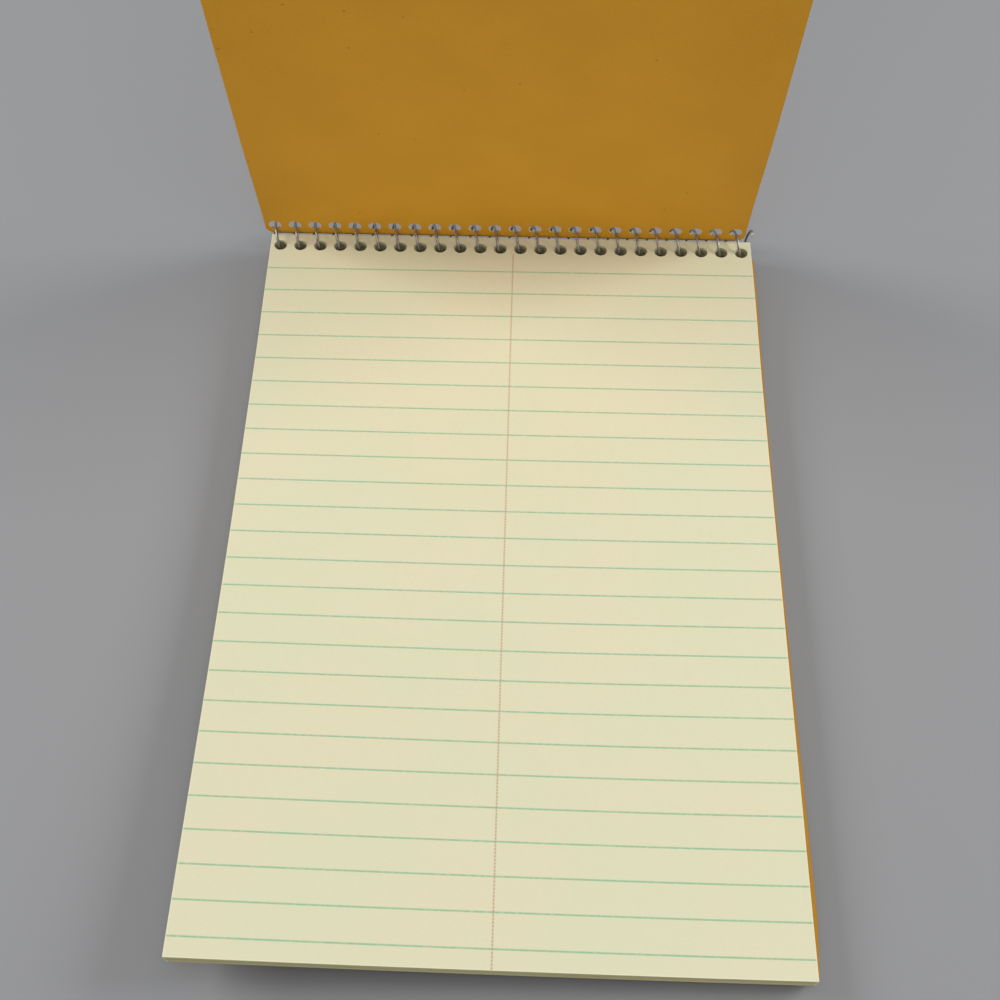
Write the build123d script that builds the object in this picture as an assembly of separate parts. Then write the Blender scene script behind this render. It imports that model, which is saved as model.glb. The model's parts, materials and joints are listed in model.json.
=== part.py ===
"""A top-bound steno book: 6 x 9 inch ruled pages between two kraft card covers on one wire coil.

The book lies on its back cover with its front cover turned up behind the coil.
+X runs along the coil, +Y points from the foot of the pages to the coil, and +Z is up.
The origin is under the middle of the book, on the surface that it lies on.
"""

from build123d import *

import os
from math import atan2, cos, degrees, floor, hypot, pi, radians, sin, sqrt

# Paper and card
page_width = 152.4
page_length = 228.6
block_thickness = 6.0
cover_thickness = 0.5
cover_corner_radius = 3.0

# Punched holes, the same row in the pages and in both covers
hole_diameter = 4.1
hole_pitch = 6.35
hole_setback = 4.6
least_end_margin = 3.0

# Wire coil: the wire runs on by end_turn degrees past its last page holes, then turns in
wire_diameter = 0.8
end_turn = 210.0
hook_radius = 1.5
hook_turn = 110.0

# Clearances: a closed cover over the pages, the wire inside the middle of a closed cover's
# holes, a cover's edge behind the pages' edge, and the two covers when both lie open
cover_gap = 0.15
wire_inset = 0.1
edge_gap = 0.1
open_covers_gap = 0.4

# How far the front cover stands open from the pages
front_cover_angle = 80.0

# Round forms are drawn with flats, which keeps 72 holes and a long wire light
hole_sides = 20
wire_sides = 6
steps_per_turn = 24

# Hole row: as many holes as the width takes, centred
hole_count = floor((page_width - 2 * least_end_margin) / hole_pitch) + 1
row_length = (hole_count - 1) * hole_pitch
hole_places = [i * hole_pitch - row_length / 2 for i in range(hole_count)]

# Levels and radii about the coil's axis, which runs in the plane of the pages' top edge. The
# wire's section is as large as the round one, so its corners reach a little further.
cover_level = block_thickness / 2 + cover_gap + cover_thickness / 2
open_level = (open_covers_gap + cover_thickness) / 2
coil_radius = hypot(hole_setback, cover_level) - wire_inset
wire_corner = wire_diameter / 2 * sqrt(2 * pi / (wire_sides * sin(2 * pi / wire_sides)))
coil_reach = coil_radius + wire_corner

# A cover turns about a line this far from the coil's axis: closed, its plate clears the
# pages, and open flat it lies just past the level of the axis
pivot_height = (cover_level + open_level) / 2

# Turning a cover takes its holes along the wire, which leads them sideways. The plates are
# centred on the wire's place halfway through that travel.
closed_turn = degrees(atan2(cover_level, hole_setback))
open_turn = 180 - degrees(atan2(open_level, hole_setback + 2 * edge_gap))
cover_shift = hole_pitch * (closed_turn + open_turn) / 2 / 360

# The coil's axis in the finished book, which stands on the lowest line of the wire
coil_axis = Pos(0, (page_length - coil_reach) / 2, coil_reach)


def punch(sheet, row_middle, level, depth):
    """The sheet with the row of holes cut through it, each no narrower than the round hole."""
    outline = RegularPolygon(hole_diameter / 2, hole_sides, major_radius=False)
    hole = extrude(outline, depth, both=True)
    return sheet - [Pos(row_middle + x, -hole_setback, level) * hole for x in hole_places]


def make_page_block():
    """All the leaves as one square-cut block."""
    block = Box(page_width, page_length, block_thickness, align=(Align.CENTER, Align.MAX, Align.CENTER))
    return punch(block, 0, 0, block_thickness)


def make_cover(side):
    """A closed cover: side is 1 for the front, above the pages, and -1 for the back."""
    shift, level = -side * cover_shift, side * cover_level
    outline = RectangleRounded(page_width, page_length, cover_corner_radius)
    plate = extrude(outline, cover_thickness / 2, both=True)
    return punch(Pos(shift, -page_length / 2, level) * plate, shift, level, cover_thickness)


def open_cover(cover, side, angle):
    """The cover turned away from the pages by this angle, about its own pivot line."""
    pivot = Pos(0, edge_gap, side * pivot_height)
    return pivot * Rot(X=-side * angle) * pivot.inverse() * cover


def coil_point(turn):
    """A point of the wire's centre line, this many degrees past the rightmost page hole.
    The wire goes up through the pages, back over the top and down, and works to the left."""
    phi = radians(turn)
    along_row = row_length / 2 - hole_pitch * turn / 360
    return Vector(along_row, -coil_radius * cos(phi), coil_radius * sin(phi))


def hook_points(turn, way):
    """An end of the wire beyond this turn, bent inwards so that it can't wind out of the
    holes: way is 1 at the left end and -1 at the right."""
    start, phi = coil_point(turn), radians(turn)
    rise = Vector(-hole_pitch / (2 * pi), coil_radius * sin(phi), coil_radius * cos(phi))
    along = rise.normalized() * way
    inwards = (Vector(start.X, 0, 0) - start).normalized()
    steps = steps_per_turn // 4
    bends = [radians(hook_turn) * i / steps for i in range(1, steps + 1)]
    return [start + (along * sin(b) + inwards * (1 - cos(b))) * hook_radius for b in bends]


def make_wire_coil():
    """One length of wire, wound through every hole, with both ends bent in."""
    first, last = -end_turn, (hole_count - 1) * 360 + end_turn
    steps = round((last - first) / 360 * steps_per_turn)
    winding = [coil_point(first + (last - first) * i / steps) for i in range(steps + 1)]
    points = hook_points(first, -1)[::-1] + winding + hook_points(last, 1)
    end_face = Plane(points[0], z_dir=points[1] - points[0]) * RegularPolygon(wire_corner, wire_sides)
    return sweep(end_face, path=Polyline(*points), transition=Transition.RIGHT)


def main():
    parts = {
        "page_block": make_page_block(),
        "wire_coil": make_wire_coil(),
        "front_cover": open_cover(make_cover(1), 1, front_cover_angle),
        "back_cover": make_cover(-1),
    }
    os.makedirs("parts", exist_ok=True)
    for node, shape in parts.items():
        export_step(coil_axis * shape, f"parts/{node}.step")


main()
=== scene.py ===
# %% [markdown]
# # A steno book: from plain solids to paper, card and wire
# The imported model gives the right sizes, places and hinges. This script dresses it: eighty
# thin leaves for the block of pages, two sheets of kraft card and a round bright wire.
# Everything is in metres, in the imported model's own frame.

# %% Load the frame
import json
import math

import bpy
import numpy as np
from mathutils import Matrix, Vector


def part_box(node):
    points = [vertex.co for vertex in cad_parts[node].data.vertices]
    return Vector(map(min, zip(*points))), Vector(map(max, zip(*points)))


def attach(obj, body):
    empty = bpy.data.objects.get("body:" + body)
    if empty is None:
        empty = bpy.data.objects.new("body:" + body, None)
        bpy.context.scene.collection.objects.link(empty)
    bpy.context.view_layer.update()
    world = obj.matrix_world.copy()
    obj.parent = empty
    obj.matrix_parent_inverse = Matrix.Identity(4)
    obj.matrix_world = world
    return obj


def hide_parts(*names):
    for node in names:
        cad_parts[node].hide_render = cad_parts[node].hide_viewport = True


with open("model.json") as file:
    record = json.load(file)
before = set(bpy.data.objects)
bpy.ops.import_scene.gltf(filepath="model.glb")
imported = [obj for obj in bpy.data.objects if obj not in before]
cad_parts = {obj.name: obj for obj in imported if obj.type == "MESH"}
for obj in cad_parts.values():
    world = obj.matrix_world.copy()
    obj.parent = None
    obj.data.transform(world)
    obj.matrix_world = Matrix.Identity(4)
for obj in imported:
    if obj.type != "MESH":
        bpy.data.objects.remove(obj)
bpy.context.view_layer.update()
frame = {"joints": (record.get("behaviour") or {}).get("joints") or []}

MM = 0.001

# %% [markdown]
# ## Sizes
# A piece that stands for a solid must stay where the solid is. So the main sizes are read
# from the solids, and only what a box can't tell, such as the pitch of the holes, is written
# here. The coil's axis lies in the plane of the pages' top edge, halfway up the block.

# %% Sizes of the book
page_low, page_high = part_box("page_block")
back_low, back_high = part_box("back_cover")
page_width = page_high.x - page_low.x
page_length = page_high.y - page_low.y
block_thickness = page_high.z - page_low.z
cover_thickness = back_high.z - back_low.z
cover_shift = (back_low.x + back_high.x) / 2
axis_place = Vector((0, page_high.y, (page_low.z + page_high.z) / 2))
cover_level = axis_place.z - (back_low.z + back_high.z) / 2

hole_count = 24
hole_pitch = 6.35 * MM
hole_setback = 4.6 * MM
hole_radius = 2.05 * MM
cover_corner_radius = 3.0 * MM
front_cover_angle = math.radians(80)
print("page", round(page_width / MM, 2), "x", round(page_length / MM, 2), "mm, covers at",
      round(cover_level / MM, 2), "mm, shifted", round(cover_shift / MM, 2), "mm")

# %% [markdown]
# ## How a used pad lies
# A pad of paper on a table is never quite flat. The coil holds its top edge up, so the middle
# sags towards the table, and the left corner of its foot stands a little higher than the
# right one. One function gives this for every sheet, so that leaves and covers nest without
# touching. It is nearly zero at the holes, where the wire holds the paper.

# %% The sag of the sheets
belly_sag = 2.2 * MM
corner_lift = 2.5 * MM
edge_curl = 0.37 * MM
foot_rise = 2.6 * MM
table_stop = 2.25 * MM
table_softness = 0.4 * MM

# Where each bend sets in and is full, as shares of the way down the sheet
corner_zone = (0.04, 0.3)
foot_zone = (0.4, 1.0)
belly_zone = (0.02, 0.2)


def ease(value, low, high):
    """0 below low, 1 above high, and a smooth rise between them."""
    s = np.clip((value - low) / (high - low), 0, 1)
    return s * s * (3 - 2 * s)


def sag(x, down):
    """How far a sheet lies above its flat place: x from the middle, down from the top edge."""
    t, side = down / page_length, x / (page_width / 2)
    to_left = (1 - side) / 2
    height = (edge_curl * side**2 - corner_lift * side) * t * ease(t, *corner_zone)
    height = height + foot_rise * to_left**2 * ease(t, *foot_zone)
    height = height - belly_sag * 4 * t * (1 - t) * ease(t, *belly_zone)
    above = height + table_stop
    return (above + np.sqrt(above**2 + table_softness**2)) / 2 - table_stop - table_softness / 2


for place in ((-1, 1), (1, 1), (0, 0.5), (1, 0.5), (0, 0.02)):
    height = sag(place[0] * page_width / 2, place[1] * page_length)
    print("sag at", place, round(float(height) / MM, 2), "mm")

# %% [markdown]
# ## A punched sheet
# A leaf or a cover is a thin sheet with a row of holes. Cutting 24 holes with booleans leaves
# long thin triangles that shade badly once the sheet bends. So the sheet is laid out in cells,
# one for each hole, with a ring of faces from the hole's rim to the cell's border, and a plain
# grid below them. A second layer and walls make it a closed solid.
#
# All sheets share the rows of the grid, close together where the sag bends most. Sheets that
# bend at the same rows nest, however coarse they are.

# %% Lay out the cells and the grid
bend_end = 60 * MM
near_row_count = 14
far_row_count = 12
near_rows = np.linspace(2 * hole_setback, bend_end, near_row_count)
far_rows = np.linspace(bend_end, page_length, far_row_count)
row_places = np.concatenate([near_rows, far_rows[1:]])


def cell_border(across, along):
    """Points round one hole's cell, anticlockwise from its top right corner: this many steps
    across the top and the foot, and this many along each side."""
    half, depth = hole_pitch / 2, 2 * hole_setback
    top = [(half - hole_pitch * i / across, 0) for i in range(across)]
    left = [(-half, -depth * i / along) for i in range(along)]
    foot = [(-half + hole_pitch * i / across, -depth) for i in range(across)]
    right = [(half, -depth + depth * i / along) for i in range(along)]
    return top + left + foot + right


def flat_layer(across, along):
    """The points and faces of a punched page, in one flat layer from the top edge down."""
    points, faces, known = [], [], {}

    def point(x, y):
        key = (round(x / MM, 3), round(y / MM, 3))
        if key not in known:
            known[key] = len(points)
            points.append((x, y))
        return known[key]

    border = cell_border(across, along)
    count = len(border)
    first_angle = math.pi / 2 - math.pi * across / count
    for hole in range(hole_count):
        middle = (hole - (hole_count - 1) / 2) * hole_pitch
        outer = [point(middle + x, y) for x, y in border]
        inner = []
        for i in range(count):
            angle = first_angle + 2 * math.pi * i / count
            aside, up = hole_radius * math.cos(angle), hole_radius * math.sin(angle)
            inner.append(point(middle + aside, up - hole_setback))
        for i in range(count):
            after = (i + 1) % count
            faces.append((outer[i], outer[after], inner[after], inner[i]))
    columns = hole_count * across
    xs = [(i / columns - 0.5) * page_width for i in range(columns + 1)]
    for y, below in zip(-row_places[:-1], -row_places[1:]):
        for x, right in zip(xs[:-1], xs[1:]):
            faces.append((point(x, y), point(x, below), point(right, below), point(right, y)))
    return np.array(points), faces


def round_corners(points, radius):
    """The points with those near a corner of the outline moved onto a round corner."""
    moved = points.copy()
    for side in (-1, 1):
        for corner_y, inward in ((0, -1), (-page_length, 1)):
            across = page_width / 2 - side * points[:, 0]
            along = (points[:, 1] - corner_y) * inward
            on_edge = (np.minimum(across, along) < 1e-7) & (np.maximum(across, along) < radius)
            turn = (radius + along - across) / (2 * radius) * math.pi / 2
            moved[on_edge, 0] = side * (page_width / 2 - radius * (1 - np.sin(turn)))[on_edge]
            moved[on_edge, 1] = (corner_y + inward * radius * (1 - np.cos(turn)))[on_edge]
    return moved


page_points, page_faces = flat_layer(1, 5)
print("one plain leaf:", len(page_points), "points", len(page_faces), "faces in a layer")

# %% [markdown]
# Each point also keeps where it was on the flat sheet. The ruling and the paper's grain read
# that place, so they follow the sheet when it bends or turns on its hinge. Faces of the cut
# edge are marked, because a cut edge shows the raw middle of the card.

# %% Make a sheet a solid


def sheet_mesh(name, points, faces, thickness):
    """A closed sheet round z = 0, with its flat places and its cut edge as attributes."""
    count = len(points)
    half = np.full((count, 1), thickness / 2)
    corners = np.vstack([np.hstack([points, half]), np.hstack([points, -half])])
    sides = {(a, b) for face in faces for a, b in zip(face, face[1:] + face[:1])}
    walls = [(a, a + count, b + count, b) for a, b in sides if (b, a) not in sides]
    under = [tuple(i + count for i in reversed(face)) for face in faces]
    mesh = bpy.data.meshes.new(name)
    mesh.from_pydata(corners.tolist(), [], faces + under + sorted(walls))
    flat = mesh.attributes.new("flat_place", "FLOAT_VECTOR", "POINT")
    flat.data.foreach_set("vector", (corners * (1, -1, 1)).astype(np.float32).ravel())
    cut = mesh.attributes.new("cut_edge", "FLOAT", "FACE")
    cut.data.foreach_set("value", np.repeat([0.0, 1.0], [2 * len(faces), len(walls)]))
    return mesh


def place_points(mesh, change):
    """Moves every point of a mesh by a function of all the points, given as rows of x, y, z."""
    spots = np.empty(len(mesh.vertices) * 3, np.float32)
    mesh.vertices.foreach_get("co", spots)
    spots = change(spots.reshape(-1, 3).astype(float))
    mesh.vertices.foreach_set("co", spots.astype(np.float32).ravel())
    mesh.update()


def add_object(name, mesh, material=None):
    """A new object in the scene that shows this mesh."""
    piece = bpy.data.objects.new(name, mesh)
    bpy.context.scene.collection.objects.link(piece)
    if material:
        mesh.materials.append(material)
    return piece


def smooth(mesh, sharp_angle):
    """Smooth shading, with an edge that turns by more than this angle, in degrees, kept crisp."""
    mesh.shade_smooth()
    mesh.set_sharp_from_angle(angle=math.radians(sharp_angle))


# %% [markdown]
# ## Building node trees
# Materials and Geometry Nodes are both trees of nodes. A few small helpers keep the recipes
# readable: they add a node and fill or link its inputs, do a step of arithmetic, make a soft
# step or band, mix or shade a colour, and start a new group or material.

# %% Helpers for node trees


def add(tree, kind, inputs=None, **settings):
    """A new node. An input given as another node's output is linked, any other is a value."""
    node = tree.nodes.new(kind)
    for key, value in settings.items():
        setattr(node, key, value)
    for key, value in (inputs or {}).items():
        if isinstance(value, bpy.types.NodeSocket):
            tree.links.new(value, node.inputs[key])
        else:
            node.inputs[key].default_value = value
    return node


def calc(tree, operation, *values):
    """The result of one Math node."""
    return add(tree, "ShaderNodeMath", dict(enumerate(values)), operation=operation).outputs[0]


def rise(tree, value, low, high):
    """0 below low, 1 above high, with a smooth rise between, as a node."""
    sizes = {"Value": value, "From Min": low, "From Max": high}
    return add(tree, "ShaderNodeMapRange", sizes, interpolation_type="SMOOTHSTEP").outputs[0]


def band(tree, distance, core, rim):
    """1 within core of a line or a point, 0 beyond rim, with a soft edge between, as a node."""
    return calc(tree, "SUBTRACT", 1, rise(tree, distance, core, rim))


def mix(tree, share, first, second):
    """A mix of two colours: share 0 gives the first, share 1 the second. The Mix node has
    sockets for each kind of value, and 6 and 7 are those for colours."""
    values = {0: share, 6: first, 7: second}
    return add(tree, "ShaderNodeMix", values, data_type="RGBA").outputs[2]


def shaded(tree, colour, value, low, high):
    """The colour times low where the value is 0, and times high where it is 1."""
    factors = {0: colour, 1: calc(tree, "MULTIPLY_ADD", value, high - low, low)}
    return add(tree, "ShaderNodeVectorMath", factors, operation="MULTIPLY").outputs[0]


def srgb(red, green, blue):
    """A colour as it is read off a screen, 0 to 255, as the linear light that Blender uses."""
    values = [v / 255 for v in (red, green, blue)]
    return tuple(v / 12.92 if v < 0.04045 else ((v + 0.055) / 1.055) ** 2.4 for v in values) + (1,)


def new_group(name, kind, inputs, outputs):
    """An empty node group with these sockets, and its input and output nodes."""
    group = bpy.data.node_groups.new(name, kind)
    for label, socket, default in inputs:
        item = group.interface.new_socket(label, in_out="INPUT", socket_type=socket)
        if default is not None:
            item.default_value = default
    for label, socket in outputs:
        group.interface.new_socket(label, in_out="OUTPUT", socket_type=socket)
    return group, group.nodes.new("NodeGroupInput"), group.nodes.new("NodeGroupOutput")


def new_material(name):
    """A new material, its tree and its Principled shader."""
    material = bpy.data.materials.new(name)
    material.use_nodes = True
    return material, material.node_tree, material.node_tree.nodes["Principled BSDF"]


# %% [markdown]
# ## Grain of paper and card
# Paper and card are both felted fibres: fine short streaks, soft cloudy patches where the
# sheet is thicker or thinner, and a few specks of bark. A photo texture would do, but it has
# one fixed size. A shader node group does it at any scale, and both materials share it.

# %% The fibre group
fibres, given, result = new_group(
    "felted_fibres", "ShaderNodeTree",
    [("Place", "NodeSocketVector", None), ("Fibre size", "NodeSocketFloat", 0.4 * MM),
     ("Patch size", "NodeSocketFloat", 25 * MM), ("Speck size", "NodeSocketFloat", 2.5 * MM)],
    [("Grain", "NodeSocketFloat"), ("Patches", "NodeSocketFloat"), ("Specks", "NodeSocketFloat")],
)


def noise(tree, place, size, detail, stretch=(1, 1, 1)):
    """Soft noise whose lumps are about this size."""
    spread = add(tree, "ShaderNodeMapping", {"Vector": place, "Scale": stretch}).outputs[0]
    sizes = {"Vector": spread, "Scale": calc(tree, "DIVIDE", 1.0, size), "Detail": detail}
    return add(tree, "ShaderNodeTexNoise", sizes).outputs["Fac"]


streak_share = 0.6
streak_stretch = (0.35, 1, 1)
speck_core = 0.04
speck_rim = 0.10
empty_share = 0.82

sheet_place = given.outputs["Place"]
streaks = noise(fibres, sheet_place, given.outputs["Fibre size"], 2, streak_stretch)
lumps = noise(fibres, sheet_place, given.outputs["Fibre size"], 3)
lumps = calc(fibres, "MULTIPLY", lumps, 1 - streak_share)
grain = calc(fibres, "MULTIPLY_ADD", streaks, streak_share, lumps)
patches = noise(fibres, sheet_place, given.outputs["Patch size"], 4)
speck_scale = calc(fibres, "DIVIDE", 1.0, given.outputs["Speck size"])
cells = add(fibres, "ShaderNodeTexVoronoi", {"Vector": sheet_place, "Scale": speck_scale})
draw = add(fibres, "ShaderNodeSeparateColor", {"Color": cells.outputs["Color"]}).outputs[0]
near = band(fibres, cells.outputs["Distance"], speck_core, speck_rim)
specks = calc(fibres, "MULTIPLY", near, calc(fibres, "GREATER_THAN", draw, empty_share))
for label, value in (("Grain", grain), ("Patches", patches), ("Specks", specks)):
    fibres.links.new(value, result.inputs[label])
print("fibre group:", len(fibres.nodes), "nodes")

# %% [markdown]
# ## Ruled writing paper
# The sheet is a pale green-cream, easy on the eyes, with 25 thin green lines at 11/32 inch
# and a dotted brown line down the middle. Each line is the distance to the nearest multiple
# of the spacing, made into a thin soft-edged band. Printed ink is never even, so noise thins
# it. Nor is print ever quite square to the sheet, so the middle line leans a little.

# %% Ruled paper for the top leaf
first_line = 14.1 * MM
line_spacing = 8.731 * MM
line_count = 25
line_core = 0.068 * MM
line_rim = 0.374 * MM
ink_lump = 1.2 * MM
worn_ink = 0.5
full_ink = 0.8

centre_line_x = 0.97 * MM
centre_line_lean = 1.22 * MM
centre_line_start = (6.2 * MM, 7.2 * MM)
centre_core = 0.102 * MM
centre_rim = 0.323 * MM
dot_pitch = 0.9 * MM
dot_edge = (0.22, 0.34)
dot_ink = 0.85
gap_ink = 0.35

paper_cream = srgb(225, 220, 188)
paper_green = srgb(221, 221, 188)
patch_edge = (0.35, 0.65)
# A painted highlight: a lighter cream rim along the page's sides and foot, where light catches its
# edge
edge_highlight_width = 0.4 * MM
edge_highlight_share = 0.5
edge_highlight_cream = srgb(242, 239, 214)
line_green = srgb(126, 186, 144)
line_brown = srgb(194, 162, 127)


def use_fibres(tree, place, fibre_size, patch_size, speck_size):
    """The shared grain, placed in a material with its own sizes."""
    node = tree.nodes.new("ShaderNodeGroup")
    node.node_tree = fibres
    tree.links.new(place, node.inputs["Place"])
    node.inputs["Fibre size"].default_value = fibre_size
    node.inputs["Patch size"].default_value = patch_size
    node.inputs["Speck size"].default_value = speck_size
    return node.outputs


def flat_place(tree):
    """Where a point lay on the flat sheet: as a vector, its x, and its way down the page."""
    vector = add(tree, "ShaderNodeAttribute", attribute_name="flat_place").outputs["Vector"]
    parts = add(tree, "ShaderNodeSeparateXYZ", {"Vector": vector}).outputs
    return vector, parts["X"], parts["Y"]


def soft_bump(tree, shader, height, strength, distance):
    """A fine relief in the shader's normal."""
    sizes = {"Height": height, "Strength": strength, "Distance": distance}
    tree.links.new(add(tree, "ShaderNodeBump", sizes).outputs[0], shader.inputs["Normal"])


ruled_paper, tree, shader = new_material("ruled_paper")
place, across_page, down_page = flat_place(tree)
grain = use_fibres(tree, place, fibre_size=0.5 * MM, patch_size=38 * MM, speck_size=9 * MM)
paper = mix(tree, rise(tree, grain["Patches"], *patch_edge), paper_cream, paper_green)
paper = shaded(tree, paper, grain["Grain"], 0.95, 1.05)

row = calc(tree, "DIVIDE", calc(tree, "SUBTRACT", down_page, first_line), line_spacing)
nearest = calc(tree, "ROUND", row)
rows_off = calc(tree, "ABSOLUTE", calc(tree, "SUBTRACT", row, nearest))
line = band(tree, calc(tree, "MULTIPLY", rows_off, line_spacing), line_core, line_rim)
line = calc(tree, "MULTIPLY", line, calc(tree, "GREATER_THAN", nearest, -0.5))
line = calc(tree, "MULTIPLY", line, calc(tree, "LESS_THAN", nearest, line_count - 0.5))
kept = rise(tree, noise(tree, place, ink_lump, 3), 0.25, 0.6)
ink = calc(tree, "MULTIPLY_ADD", kept, full_ink - worn_ink, worn_ink)
paper = mix(tree, calc(tree, "MULTIPLY", line, ink), paper, line_green)

lean = -centre_line_lean / page_length
centre_line = calc(tree, "MULTIPLY_ADD", down_page, lean, centre_line_x)
off_centre = calc(tree, "ABSOLUTE", calc(tree, "SUBTRACT", across_page, centre_line))
centre = band(tree, off_centre, centre_core, centre_rim)
along_dot = calc(tree, "FRACT", calc(tree, "DIVIDE", down_page, dot_pitch))
off_dot = calc(tree, "ABSOLUTE", calc(tree, "SUBTRACT", along_dot, 0.5))
ink = calc(tree, "MULTIPLY_ADD", rise(tree, off_dot, *dot_edge), gap_ink - dot_ink, dot_ink)
ink = calc(tree, "MULTIPLY", ink, rise(tree, down_page, *centre_line_start))
paper = mix(tree, calc(tree, "MULTIPLY", centre, ink), paper, line_brown)

# Painted highlight: the page turns a lighter cream close to its sides and its foot
past_side = calc(tree, "SUBTRACT", calc(tree, "ABSOLUTE", across_page), page_width / 2)
past_foot = calc(tree, "SUBTRACT", down_page, page_length)
rim = rise(tree, calc(tree, "MAXIMUM", past_side, past_foot), -edge_highlight_width, 0)
paper = mix(tree, calc(tree, "MULTIPLY", rim, edge_highlight_share), paper, edge_highlight_cream)
tree.links.new(paper, shader.inputs["Base Color"])
shader.inputs["Roughness"].default_value = 0.85
shader.inputs["Specular IOR Level"].default_value = 0.25
soft_bump(tree, shader, grain["Grain"], 0.25, 0.03 * MM)
last_line = first_line + (line_count - 1) * line_spacing
print("ruled paper:", line_count, "lines, the last", round(last_line / MM, 1), "mm down")

# %% [markdown]
# The leaves below show only their edges. Their cut paper is darker and yellower: partly the raw
# colour of cut paper, and partly painted shade for the front of the block, which stands in shade.
# Each leaf gets its own tint, from a number that the stack gives it, so that the cut edge of the
# block reads as many thin layers.

# %% Paper for the leaves below
# The cut edges' colour: the raw colour of cut paper, darkened with painted shade
cut_paper_and_shade = srgb(204, 194, 134)

leaf_paper, tree, shader = new_material("leaf_paper")
place, _, _ = flat_place(tree)
grain = use_fibres(tree, place, fibre_size=0.5 * MM, patch_size=30 * MM, speck_size=9 * MM)
leaf_tint = add(tree, "ShaderNodeAttribute", attribute_name="leaf_tint").outputs["Fac"]
paper = mix(tree, rise(tree, grain["Patches"], *patch_edge), paper_cream, paper_green)
cut = add(tree, "ShaderNodeAttribute", attribute_name="cut_edge").outputs["Fac"]
paper = mix(tree, cut, paper, cut_paper_and_shade)
paper = shaded(tree, paper, leaf_tint, 0.70, 1.05)
tree.links.new(paper, shader.inputs["Base Color"])
shader.inputs["Roughness"].default_value = 0.9
shader.inputs["Specular IOR Level"].default_value = 0.2
soft_bump(tree, shader, grain["Grain"], 0.2, 0.03 * MM)

# %% [markdown]
# ## Kraft card
# The covers are unbleached card: an ochre brown that is cloudy at the scale of a thumb, with
# fine fibres, pale and dark specks, and a lighter raw colour where the knife cut it. The
# material reads the flat place, and the marked faces of the cut edge.

# %% Kraft card
kraft_light = srgb(199, 143, 36)
kraft_dark = srgb(194, 139, 33)
kraft_raw = srgb(201, 158, 92)
kraft_fleck = srgb(210, 161, 66)
kraft_bark = srgb(112, 74, 28)
fleck_share = 0.4
bark_share = 0.5
fleck_offset = (0.31, 0.17, 0)

kraft_card, tree, shader = new_material("kraft_card")
place, _, _ = flat_place(tree)
grain = use_fibres(tree, place, fibre_size=0.35 * MM, patch_size=26 * MM, speck_size=5 * MM)
card = mix(tree, rise(tree, grain["Patches"], 0.3, 0.7), kraft_dark, kraft_light)
card = shaded(tree, card, grain["Grain"], 0.88, 1.12)
moved = add(tree, "ShaderNodeMapping", {"Vector": place, "Location": fleck_offset}).outputs[0]
fine = use_fibres(tree, moved, fibre_size=0.35 * MM, patch_size=26 * MM, speck_size=2.2 * MM)
card = mix(tree, calc(tree, "MULTIPLY", fine["Specks"], fleck_share), card, kraft_fleck)
card = mix(tree, calc(tree, "MULTIPLY", grain["Specks"], bark_share), card, kraft_bark)
cut = add(tree, "ShaderNodeAttribute", attribute_name="cut_edge").outputs["Fac"]
card = mix(tree, cut, card, kraft_raw)
tree.links.new(card, shader.inputs["Base Color"])
tree.links.new(calc(tree, "MULTIPLY_ADD", grain["Grain"], 0.2, 0.62), shader.inputs["Roughness"])
shader.inputs["Specular IOR Level"].default_value = 0.35
soft_bump(tree, shader, grain["Grain"], 0.35, 0.05 * MM)

# %% [markdown]
# ## Bright drawn wire
# Drawn steel wire is a smooth metal with faint streaks along its length. What sells it is
# what it reflects, so it gets full metallic and a low roughness that varies a little.

# %% Bright wire
steel_bright = srgb(172, 168, 160)
steel_dull = srgb(138, 134, 125)

bright_wire, tree, shader = new_material("bright_wire")
object_place = add(tree, "ShaderNodeTexCoord").outputs["Object"]
dull = noise(tree, object_place, 1.5 * MM, 3)
steel = mix(tree, rise(tree, dull, 0.35, 0.7), steel_bright, steel_dull)
tree.links.new(steel, shader.inputs["Base Color"])
shader.inputs["Metallic"].default_value = 1.0
tree.links.new(calc(tree, "MULTIPLY_ADD", dull, 0.25, 0.28), shader.inputs["Roughness"])
soft_bump(tree, shader, noise(tree, object_place, 0.25 * MM, 2), 0.1, 0.01 * MM)

# %% [markdown]
# ## The stack of leaves
# Eighty leaves are one leaf repeated, each a hair out of line with the next. Geometry Nodes
# do this: a line of points down through the block, a small seeded shift and turn for each
# point, and the leaf placed on it. The stack comes in two halves to keep each piece light.

# %% A tree that stacks leaves


def socket_id(tree, label):
    """The identifier behind an input's name, which is what a modifier wants."""
    return next(item.identifier for item in tree.interface.items_tree if item.name == label)


def run_tree(piece, tree, values):
    """A plain mesh of the piece after the tree has worked on it with these values."""
    modifier = piece.modifiers.new("recipe", "NODES")
    modifier.node_group = tree
    for label, value in values.items():
        modifier[socket_id(tree, label)] = value
    piece.update_tag()
    evaluated = piece.evaluated_get(bpy.context.evaluated_depsgraph_get())
    mesh = bpy.data.meshes.new_from_object(evaluated)
    piece.modifiers.remove(modifier)
    return mesh


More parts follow.
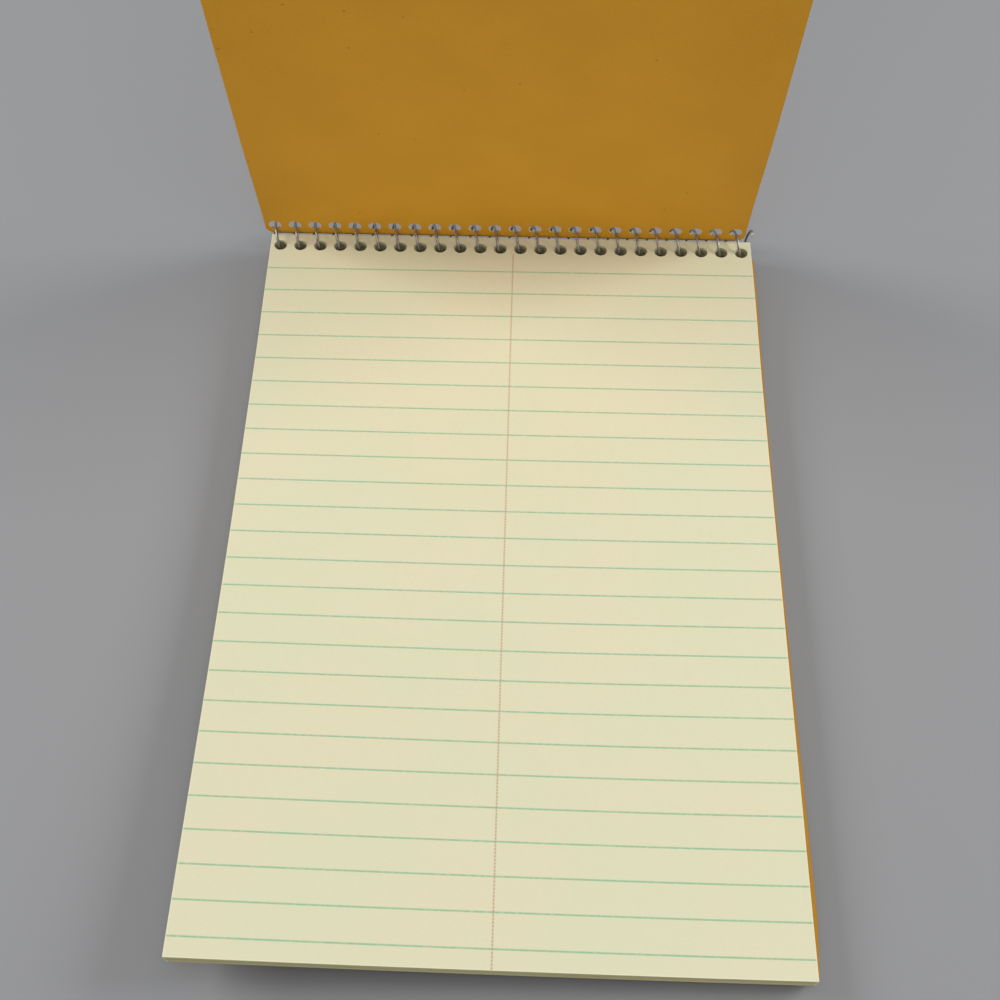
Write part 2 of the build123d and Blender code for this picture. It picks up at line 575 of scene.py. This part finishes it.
stack, given, result = new_group(
    "leaf_stack", "GeometryNodeTree",
    [("Leaf", "NodeSocketGeometry", None), ("Leaves", "NodeSocketInt", 40),
     ("Top", "NodeSocketFloat", 0.0), ("Pitch", "NodeSocketFloat", 0.1 * MM),
     ("Stray", "NodeSocketFloat", 0.1 * MM), ("Turn", "NodeSocketFloat", 0.0005),
     ("Seed", "NodeSocketInt", 1), ("Paper", "NodeSocketMaterial", None)],
    [("Stack", "NodeSocketGeometry")],
)
top = add(stack, "ShaderNodeCombineXYZ", {"Z": given.outputs["Top"]}).outputs[0]
drop = calc(stack, "MULTIPLY", given.outputs["Pitch"], -1)
step = add(stack, "ShaderNodeCombineXYZ", {"Z": drop}).outputs[0]
line = add(stack, "GeometryNodeMeshLine",
           {"Count": given.outputs["Leaves"], "Start Location": top, "Offset": step}).outputs[0]


def spread(tree, limit, seed_step):
    """A random number from -limit to limit for each leaf."""
    seed = calc(tree, "ADD", given.outputs["Seed"], seed_step)
    sizes = {2: calc(tree, "MULTIPLY", limit, -1), 3: limit, "Seed": seed}
    return add(tree, "FunctionNodeRandomValue", sizes, data_type="FLOAT").outputs[1]


stray_x = spread(stack, given.outputs["Stray"], 0)
stray_y = spread(stack, given.outputs["Stray"], 7)
aside = add(stack, "ShaderNodeCombineXYZ", {"X": stray_x, "Y": stray_y}).outputs[0]
moved_line = add(stack, "GeometryNodeSetPosition", {"Geometry": line, "Offset": aside}).outputs[0]
turn_z = spread(stack, given.outputs["Turn"], 13)
turn = add(stack, "ShaderNodeCombineXYZ", {"Z": turn_z}).outputs[0]
placed = add(stack, "GeometryNodeInstanceOnPoints",
             {"Points": moved_line, "Instance": given.outputs["Leaf"], "Rotation": turn}).outputs[0]
named = add(stack, "GeometryNodeStoreNamedAttribute", {"Geometry": placed, "Name": "leaf_tint"},
            data_type="FLOAT", domain="INSTANCE")
tint = add(stack, "FunctionNodeRandomValue", {2: 0.0, 3: 1.0, "Seed": given.outputs["Seed"]},
           data_type="FLOAT")
stack.links.new(tint.outputs[1], named.inputs["Value"])
real = add(stack, "GeometryNodeRealizeInstances", {"Geometry": named.outputs[0]}).outputs[0]
coloured = add(stack, "GeometryNodeSetMaterial",
               {"Geometry": real, "Material": given.outputs["Paper"]})
stack.links.new(coloured.outputs[0], result.inputs["Stack"])
print("stack tree:", len(stack.nodes), "nodes")

# %% [markdown]
# The bulk of the pad rides a little lower at its front edge than the few leaves on top, which
# have been lifted and turned most. That leaves the thin dark line that a thumbed pad shows
# below its first leaves. Its foot is pressed a little thinner than its top, and has swung a
# little to the right.

# %% The two halves of the stack
leaf_count = 80
leaf_pitch = block_thickness / leaf_count
leaf_thickness = leaf_pitch * 0.7
loose_leaves = 8
front_gap = 0.3 * MM
foot_draw = 0.1 * MM
foot_swing = 0.65 * MM
loose_forward = 0.12 * MM
foot_squeeze = 0.24
squeeze_zone = (0.55, 1.0)
gap_zone = (0.72, 1.0)
gap_waves = (9 * MM, 23 * MM)
leaf_stray = 0.10 * MM
leaf_turn = 0.0004


def foot_lift(down):
    """How far the underside of the block stands up from its flat place near the foot."""
    return foot_squeeze * block_thickness * ease(down / page_length, *squeeze_zone)


def settle_block(spots):
    """Leaves in their flat stack, moved to how they lie in the book."""
    down, level = -spots[:, 1], spots[:, 2]
    t = down / page_length
    x = spots[:, 0] + foot_swing * t
    share = (level + block_thickness / 2) / block_thickness
    under = level < block_thickness / 2 - loose_leaves * leaf_pitch
    uneven = 0.75 + 0.25 * np.sin(x / gap_waves[0]) * np.sin(x / gap_waves[1] + 1)
    gap = share * front_gap * uneven * ease(t, *gap_zone)
    level = level - under * gap + (1 - share) * foot_lift(down)
    along = spots[:, 1] + np.where(under, foot_draw * (1 - share), -loose_forward) * t
    return np.column_stack([x, along, level + sag(x, down)]) + np.array(axis_place)


leaf_mesh = sheet_mesh("leaf_pattern", page_points, page_faces, leaf_thickness)
leaf = add_object("leaf_pattern", leaf_mesh)
upper_count = (leaf_count - 1) // 2
lower_count = leaf_count - 1 - upper_count
halves = (("leaves_upper", 1, upper_count), ("leaves_lower", 1 + upper_count, lower_count))
pieces = []
for name, first, count in halves:
    highest = block_thickness / 2 - (first + 0.5) * leaf_pitch
    values = {"Leaves": count, "Top": highest, "Pitch": leaf_pitch, "Stray": leaf_stray,
              "Turn": leaf_turn, "Seed": first, "Paper": leaf_paper}
    mesh = run_tree(leaf, stack, values)
    place_points(mesh, settle_block)
    mesh.name = name
    pieces.append(add_object(name, mesh))
    print(name, count, "leaves,", sum(len(p.vertices) - 2 for p in mesh.polygons), "triangles")
leaves_upper, leaves_lower = pieces
bpy.data.objects.remove(leaf)

# %% [markdown]
# ## The top leaf
# The page that everyone sees gets a finer mesh, so that its gentle waves shade smoothly and
# its punched holes are round.

# %% The top leaf
wave_height = 0.03 * MM
wave_across = 17 * MM
wave_down = 31 * MM
wave_zone = (0.1, 0.4)


def settle_top(spots):
    """The top leaf lies on the loose leaves, with shallow waves that die out at the holes."""
    down = -spots[:, 1]
    level = spots[:, 2] + block_thickness / 2 - leaf_pitch / 2
    t = down / page_length
    x = spots[:, 0] + foot_swing * t
    wave = wave_height * (1 + np.sin(x / wave_across + 0.6) * np.sin(down / wave_down))
    wave = wave * ease(t, *wave_zone)
    along = spots[:, 1] - loose_forward * t
    return np.column_stack([x, along, level + wave + sag(x, down)]) + np.array(axis_place)


fine_points, fine_faces = flat_layer(4, 12)
top_mesh = sheet_mesh("top_leaf", fine_points, fine_faces, leaf_thickness)
place_points(top_mesh, settle_top)
smooth(top_mesh, 40)
top_leaf = add_object("top_leaf", top_mesh, ruled_paper)
for piece in (top_leaf, leaves_upper, leaves_lower):
    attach(piece, "binding")
    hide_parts("page_block")
print("top leaf:", len(top_mesh.polygons), "faces")

# %% [markdown]
# ## The covers
# A cover is made closed, nested on the pages with the same sag, and the front one is then
# turned up about its hinge. Made this way it closes onto the pages again without cutting
# into them, whatever its shape. The back one's foot is drawn in a little below the block, and
# stands a little further to the right, where a thin tan line shows beside the pages.

# %% The two covers
hinges = {joint["child"]: Vector(joint["pos_m"]) for joint in frame["joints"]}
back_drawn = 1.0 * MM
back_swing = 1.0 * MM


def make_cover(name, side, opened, drawn, swing):
    """A cover: side is 1 for the front and -1 for the back, opened is its angle from closed.
    Its foot is drawn in by drawn and swings right by swing. Its holes stay on the wire."""
    hinge = hinges[name]
    turn = Matrix.Rotation(-side * opened, 4, "X")
    turn = Matrix.Translation(hinge) @ turn @ Matrix.Translation(-hinge)

    def settle(spots):
        down = -spots[:, 1]
        t = down / page_length
        x = spots[:, 0] - side * cover_shift + swing * t**2
        height = sag(x, down) + (side < 0) * foot_lift(down)
        level = spots[:, 2] + side * cover_level + height
        closed = np.column_stack([x, spots[:, 1] + drawn * t, level]) + np.array(axis_place)
        return closed @ np.array(turn.to_3x3()).T + np.array(turn.translation)

    points = round_corners(fine_points, cover_corner_radius)
    mesh = sheet_mesh(name + "_card", points, fine_faces, cover_thickness)
    place_points(mesh, settle)
    smooth(mesh, 40)
    piece = add_object(name + "_card", mesh, kraft_card)
    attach(piece, name)
    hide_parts(name)
    return piece


front_card = make_cover("front_cover", 1, front_cover_angle, 0, 0)
back_card = make_cover("back_cover", -1, 0, back_drawn, back_swing)
print("covers:", len(front_card.data.polygons), "faces each")

# %% [markdown]
# ## The wire coil
# One wire winds up through every page hole, back over the top and down, and on to the next
# hole, and its two ends turn in so that it can't wind out. The path is a formula. A small
# tree of Geometry Nodes sweeps a round section along it.

# %% The wire's path
wire_diameter = 0.8 * MM
wire_sides = 14
wire_inset = 0.1 * MM
coil_radius = math.hypot(hole_setback, cover_level) - wire_inset
end_turn = 210
hook_radius = 1.5 * MM
hook_turn = 110
hook_steps = 12
small_turn = 0.5
steps_per_turn = 60


def coil_point(turn):
    """A point of the wire, this many degrees past the rightmost page hole."""
    phi = math.radians(turn)
    along_row = (hole_count - 1) * hole_pitch / 2 - hole_pitch * turn / 360
    return Vector((along_row, -coil_radius * math.cos(phi), coil_radius * math.sin(phi)))


def hook(turn, way):
    """The inward bend at an end of the wire: way is 1 at the left end and -1 at the right."""
    start = coil_point(turn)
    along = (coil_point(turn + way * small_turn) - start).normalized()
    inwards = Vector((0, -start.y, -start.z)).normalized()
    points = []
    for i in range(1, hook_steps + 1):
        bend = math.radians(hook_turn) * i / hook_steps
        reach = along * math.sin(bend) + inwards * (1 - math.cos(bend))
        points.append(start + reach * hook_radius)
    return points


last_turn = (hole_count - 1) * 360 + end_turn
whole_turn = last_turn + end_turn
steps = whole_turn * steps_per_turn // 360
winding = [coil_point(-end_turn + whole_turn * i / steps) for i in range(steps + 1)]
path = hook(-end_turn, -1)[::-1] + winding + hook(last_turn, 1)
wire_length = sum((b - a).length for a, b in zip(path, path[1:]))
print("wire path:", len(path), "points,", round(wire_length, 3), "m long")

# %% Sweep the wire
sweep, given, result = new_group(
    "round_wire", "GeometryNodeTree",
    [("Path", "NodeSocketGeometry", None), ("Diameter", "NodeSocketFloat", 1 * MM),
     ("Sides", "NodeSocketInt", 12), ("Metal", "NodeSocketMaterial", None)],
    [("Wire", "NodeSocketGeometry")],
)
curve = add(sweep, "GeometryNodeMeshToCurve", {"Mesh": given.outputs["Path"]}).outputs[0]
radius = calc(sweep, "MULTIPLY", given.outputs["Diameter"], 0.5)
section = add(sweep, "GeometryNodeCurvePrimitiveCircle",
              {"Resolution": given.outputs["Sides"], "Radius": radius})
swept = add(sweep, "GeometryNodeCurveToMesh",
            {"Curve": curve, "Profile Curve": section.outputs[0], "Fill Caps": True}).outputs[0]
coloured = add(sweep, "GeometryNodeSetMaterial",
               {"Geometry": swept, "Material": given.outputs["Metal"]})
sweep.links.new(coloured.outputs[0], result.inputs["Wire"])

path_mesh = bpy.data.meshes.new("wire_path")
links = [(i, i + 1) for i in range(len(path) - 1)]
path_mesh.from_pydata([p + axis_place for p in path], links, [])
path_piece = add_object("wire_path", path_mesh)
values = {"Diameter": wire_diameter, "Sides": wire_sides, "Metal": bright_wire}
wire_mesh = run_tree(path_piece, sweep, values)
bpy.data.objects.remove(path_piece)
smooth(wire_mesh, 50)
wire = add_object("coil_wire", wire_mesh)
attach(wire, "binding")
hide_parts("wire_coil")
print("wire:", len(wire_mesh.polygons), "faces")

# %% [markdown]
# ## Floor and light
# A pad is photographed on a plain sweep under soft light. Large lamps give soft edges to the
# shadows, and the sky fills them. Together they light a flat page at about full level, so a
# colour renders as it is written. Far from the pad the floor fades into the backdrop's grey,
# only for rays that show it to the camera, so that no edge of it is seen and the light on the
# pad stays as it is.

# %% The floor
floor_grey = srgb(152, 153, 155)
floor_dark_grey = srgb(148, 149, 151)
floor_cloud = 0.35
backdrop_grey = srgb(155, 156, 159)
fade_start = 0.42
fade_end = 0.85


def seen_rays(tree):
    """1 for rays that show a surface to the camera, also through metal and glass, else 0."""
    rays = add(tree, "ShaderNodeLightPath").outputs
    seen = calc(tree, "MAXIMUM", rays["Is Camera Ray"], rays["Is Transmission Ray"])
    return calc(tree, "MAXIMUM", seen, rays["Is Glossy Ray"])


floor_material, tree, shader = new_material("pale_sweep")
floor_place = add(tree, "ShaderNodeTexCoord").outputs["Object"]
cloud = noise(tree, floor_place, floor_cloud, 2)
floor_colour = mix(tree, cloud, floor_grey, floor_dark_grey)
tree.links.new(floor_colour, shader.inputs["Base Color"])
shader.inputs["Roughness"].default_value = 0.9
shader.inputs["Specular IOR Level"].default_value = 0.2
away = add(tree, "ShaderNodeVectorMath", {0: floor_place}, operation="LENGTH").outputs["Value"]
far = calc(tree, "MULTIPLY", rise(tree, away, fade_start, fade_end), seen_rays(tree))
backdrop = add(tree, "ShaderNodeEmission", {"Color": backdrop_grey}).outputs[0]
blend = add(tree, "ShaderNodeMixShader", {0: far, 1: shader.outputs[0], 2: backdrop}).outputs[0]
tree.links.new(blend, tree.nodes["Material Output"].inputs["Surface"])
floor_reach = 0.9
floor_mesh = bpy.data.meshes.new("floor")
corners = [(-floor_reach, -floor_reach, 0), (floor_reach, -floor_reach, 0),
           (floor_reach, floor_reach, 0), (-floor_reach, floor_reach, 0)]
floor_mesh.from_pydata(corners, [], [(0, 1, 2, 3)])
add_object("floor", floor_mesh, floor_material)

# %% The lamps and the sky


def add_lamp(name, place, aim, size, share):
    """A large soft lamp at a place, aimed at a point, that gives this share of a flat page's
    full light there."""
    reach = Vector(place) - Vector(aim)
    light = bpy.data.lights.new(name, "AREA")
    light.shape, light.size = "SQUARE", size
    light.energy = share * math.pi**2 * reach.length**3 / reach.z
    lamp = bpy.data.objects.new(name, light)
    bpy.context.scene.collection.objects.link(lamp)
    lamp.location = place
    lamp.rotation_euler = (Vector(aim) - Vector(place)).to_track_quat("-Z", "Y").to_euler()
    return lamp


book_middle = (0, 0, 0.01)
page_top = (0, 0.05, 0)
lamp_size = 0.5
add_lamp("left_back", (-0.95, 0.20, 0.56), book_middle, lamp_size, 0.29)
add_lamp("right_back", (0.95, 0.20, 0.56), book_middle, lamp_size, 0.29)
add_lamp("overhead", (0.05, -0.18, 0.95), page_top, lamp_size, 0.17)
fill = add_lamp("low_front", (0, -1.5, 0.3), book_middle, lamp_size, 0.065)

# The low lamp only fills the shadows: the bright wire doesn't mirror it
fill.visible_glossy = False

world = bpy.data.worlds.new("soft_sky")
bpy.context.scene.world = world
world.use_nodes = True
tree = world.node_tree
background = tree.nodes["Background"]
sky_light = (0.24, 0.24, 0.245, 1)
sky = mix(tree, seen_rays(tree), sky_light, backdrop_grey)
tree.links.new(sky, background.inputs["Color"])

# %% [markdown]
# ## The camera
# The photo looks down at the pad from its foot. The camera's place, its turn and its lens were
# calculated from the pad's ruled lines and edges, of known sizes, and are listed here.

# %% The camera
camera_from_axis = Vector((5.0, -312.6, 341.0)) * MM
camera_right = Vector((0.99968, 0.02525, -0.0015))
camera_up = Vector((-0.02054, 0.84499, 0.53439))
camera_back = Vector((0.01476, -0.53419, 0.84524))
lens = 51.12

camera_data = bpy.data.cameras.new("camera")
camera_data.lens, camera_data.sensor_width, camera_data.sensor_fit = lens, 36, "HORIZONTAL"
camera = bpy.data.objects.new("camera", camera_data)
bpy.context.scene.collection.objects.link(camera)
pose = Matrix((camera_right, camera_up, camera_back)).transposed().to_4x4()
pose.translation = axis_place + camera_from_axis
camera.matrix_world = pose
bpy.context.scene.camera = camera
bpy.context.scene.view_settings.view_transform = "Standard"
print("camera turned", [round(math.degrees(a), 2) for a in camera.rotation_euler], "degrees")
